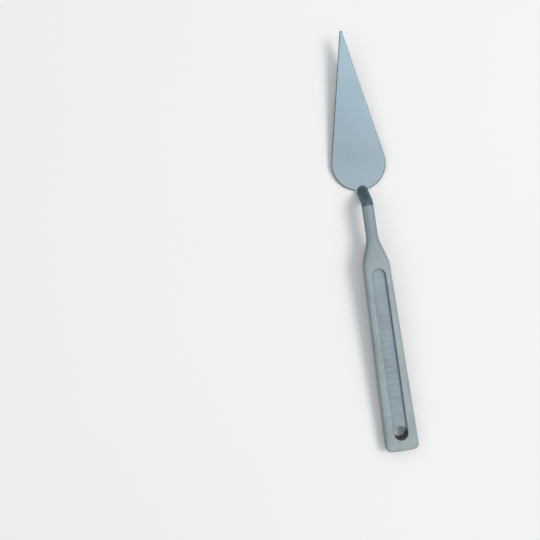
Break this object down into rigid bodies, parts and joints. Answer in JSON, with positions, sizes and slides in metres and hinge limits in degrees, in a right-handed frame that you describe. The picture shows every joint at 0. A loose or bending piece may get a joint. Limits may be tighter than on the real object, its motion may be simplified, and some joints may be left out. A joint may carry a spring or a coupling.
{
  "type": "palette knife",
  "caption": "Cranked palette knife: pear-shaped spring-steel blade on a cranked steel shank, set in a moulded plastic handle with a sunk panel and a hanging hole.",
  "frame": {"origin": "middle of the hanging hole, half way through the handle's thickness", "axes": "+Y along the handle towards the blade's tip, +Z out of the handle's recessed face along the hanging hole, +X to the right when seen from above with the tip up"},
  "size_m": [0.0312, 0.2395, 0.0199],
  "materials": {
    "blade_steel": "satin rolled spring steel",
    "shank_steel": "dark drawn rod",
    "weld_metal": "dressed weld",
    "handle_plastic": "fine mould texture"
  },
  "bodies": {
    "root": {"blade": "blade_steel", "shank": "shank_steel", "weld_bead": "weld_metal", "handle": "handle_plastic"}
  },
  "joints": []
}
